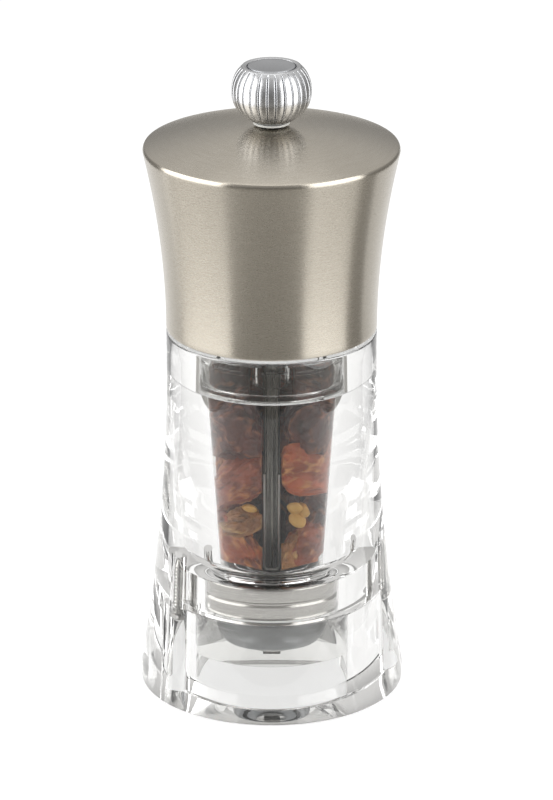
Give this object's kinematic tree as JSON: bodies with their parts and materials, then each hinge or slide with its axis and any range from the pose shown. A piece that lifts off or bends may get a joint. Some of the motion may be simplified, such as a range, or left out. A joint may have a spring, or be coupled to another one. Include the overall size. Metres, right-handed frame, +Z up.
{
  "type": "pepper mill",
  "caption": "Manual mill with a flared clear body, a waisted brushed metal head that turns on it, and a fluted top knob that sets the grind; dried chillies fill the chamber.",
  "frame": {"origin": "centre of the foot, on the surface that the mill stands on", "axes": "+Z up along the mill's own axis, -Y towards the front, +X to the right seen from the front"},
  "size_m": [0.0576, 0.0576, 0.14],
  "materials": {
    "clear_acrylic": "clear, polished",
    "brushed_head": "fine circular brushing",
    "satin_knob": "satin plated casting",
    "polished_steel": "polished",
    "ground_steel": "ground",
    "brass_insert": "machined",
    "white_plastic": "moulded, satin",
    "black_plastic": "moulded, satin",
    "dried_chilli": "dry, wrinkled skin with a slight sheen"
  },
  "bodies": {
    "body": {"clear_body": "clear_acrylic", "housing_sleeve": "polished_steel", "retaining_ring": "clear_acrylic", "stator_bowl": "ground_steel", "bearing_bridge": "ground_steel", "housing_screw_left": "polished_steel", "housing_screw_right": "polished_steel", "dried_chilli_01": "dried_chilli", "dried_chilli_02": "dried_chilli", "dried_chilli_03": "dried_chilli", "dried_chilli_04": "dried_chilli", "dried_chilli_05": "dried_chilli", "dried_chilli_06": "dried_chilli", "dried_chilli_07": "dried_chilli", "dried_chilli_08": "dried_chilli", "dried_chilli_09": "dried_chilli", "dried_chilli_10": "dried_chilli", "dried_chilli_11": "dried_chilli", "dried_chilli_12": "dried_chilli", "dried_chilli_13": "dried_chilli", "dried_chilli_14": "dried_chilli", "dried_chilli_15": "dried_chilli"},
    "bush": {"guide_bush": "black_plastic"},
    "shaft": {"drive_shaft": "polished_steel", "grinding_cone": "ground_steel", "cone_clip": "polished_steel", "spring_washer": "polished_steel", "compression_spring": "polished_steel", "agitator_hairpin": "polished_steel", "agitator_foot": "polished_steel"},
    "head": {"head_shell": "brushed_head", "head_core": "black_plastic", "neck_collar": "clear_acrylic", "drive_insert": "ground_steel", "slip_ring": "white_plastic"},
    "knob": {"knob_washer": "white_plastic", "knob_body": "satin_knob", "knob_insert": "brass_insert", "knob_cap": "satin_knob"}
  },
  "joints": [
    {"name": "head_turn", "type": "hinge", "parent": "body", "child": "bush", "pos_m": [0, 0, 0.0811], "axis": [0, 0, 1], "continuous": true},
    {"name": "head_lift_off", "type": "slide", "parent": "bush", "child": "head", "axis": [0, 0, 1], "range_m": [0, 0.07]},
    {"name": "knob_turn", "type": "hinge", "parent": "head", "child": "knob", "pos_m": [0, 0, 0.134], "axis": [0, 0, 1], "range_deg": [-360, 540]},
    {"name": "grind_adjust", "type": "slide", "parent": "bush", "child": "shaft", "axis": [0, 0, 1], "range_m": [-0.0011, 0.00075], "deforming": ["compression_spring"]}
  ],
  "couplings": [
    {"joint": "grind_adjust", "follows": "knob_turn", "m_per_rad": -0.00011141}
  ]
}
